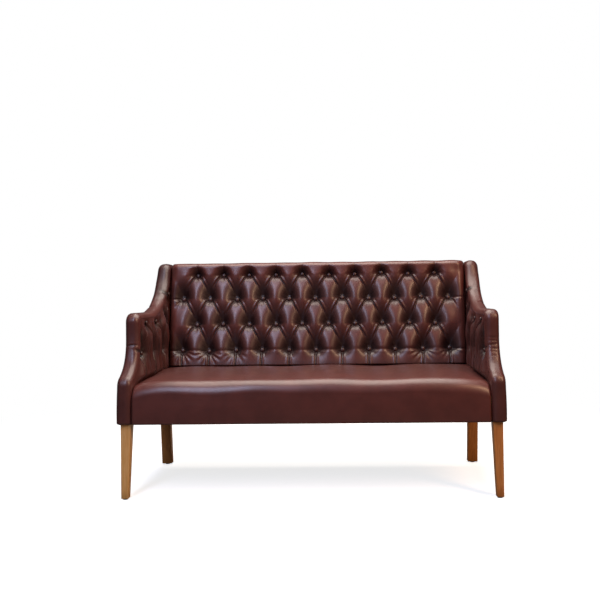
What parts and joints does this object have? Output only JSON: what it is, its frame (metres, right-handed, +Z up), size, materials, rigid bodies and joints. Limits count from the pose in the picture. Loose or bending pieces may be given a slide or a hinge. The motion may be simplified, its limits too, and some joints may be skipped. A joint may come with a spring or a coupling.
{
  "type": "settee",
  "caption": "Leather settee with a deep-buttoned back, scooped buttoned arms, a tight crowned seat and tapered wooden legs.",
  "frame": {"origin": "on the floor, under the middle of the overall box", "axes": "+X along the seat to the right as seen from the front, -Y to the front, +Z up"},
  "size_m": [1.5, 0.675, 0.946],
  "materials": {
    "leather": "semi-gloss, finely grained",
    "leg_wood": "satin lacquer",
    "frame_wood": "planed, unfinished",
    "backing_board": "raw plywood",
    "foam": "open-cell foam",
    "webbing": "woven",
    "hessian": "coarse weave",
    "dust_cloth": "matt non-woven",
    "glide": "matt"
  },
  "bodies": {
    "root": {"seat_cover": "leather", "inside_back_pad": "leather", "back_top_roll": "leather", "outside_back_cover": "leather", "back_buttons": "leather", "left_arm_border": "leather", "left_inside_arm_pad": "leather", "left_outside_arm_cover": "leather", "left_arm_buttons": "leather", "right_arm_border": "leather", "right_inside_arm_pad": "leather", "right_outside_arm_cover": "leather", "right_arm_buttons": "leather", "front_left_leg": "leg_wood", "front_right_leg": "leg_wood", "rear_left_leg": "leg_wood", "rear_right_leg": "leg_wood", "front_rail": "frame_wood", "rear_rail": "frame_wood", "cross_rails": "frame_wood", "glue_blocks": "frame_wood", "back_top_rail": "frame_wood", "back_lower_rail": "frame_wood", "back_uprights": "frame_wood", "loose_tenons": "frame_wood", "left_side_rail": "frame_wood", "left_arm_board": "frame_wood", "right_side_rail": "frame_wood", "right_arm_board": "frame_wood", "left_arm_backing": "backing_board", "right_arm_backing": "backing_board", "back_foam": "foam", "seat_foam": "foam", "left_arm_foam": "foam", "right_arm_foam": "foam", "seat_webbing": "webbing", "back_webbing": "webbing", "seat_hessian": "hessian", "dust_cover": "dust_cloth", "foot_glides": "glide"}
  },
  "joints": []
}
